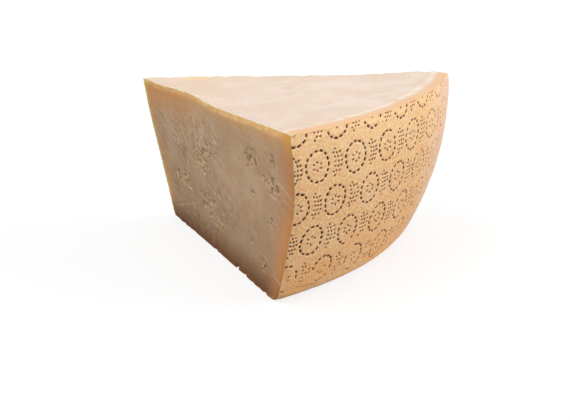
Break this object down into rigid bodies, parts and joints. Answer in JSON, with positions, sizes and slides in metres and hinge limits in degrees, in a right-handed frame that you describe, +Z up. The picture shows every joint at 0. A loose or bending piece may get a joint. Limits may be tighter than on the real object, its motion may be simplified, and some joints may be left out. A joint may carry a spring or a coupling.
{
  "type": "hard cheese wedge",
  "caption": "Wedge of aged hard cheese cut from the lower half of a wheel, with a curved rind pricked with dashes, a level cut top and grainy, cragged cut sides.",
  "frame": {"origin": "centre of the bounding box in plan, on the surface the wedge rests on", "axes": "+Z up; +Y towards the wedge's point, away from the curved rind; +X to the right when the rind is seen from the front"},
  "size_m": [0.1738, 0.212, 0.1043],
  "materials": {
    "paste": "matt, slightly waxy, grainy",
    "rind": "satin, fine orange-peel grain"
  },
  "bodies": {
    "root": {"cheese_wedge": "paste"}
  },
  "joints": []
}
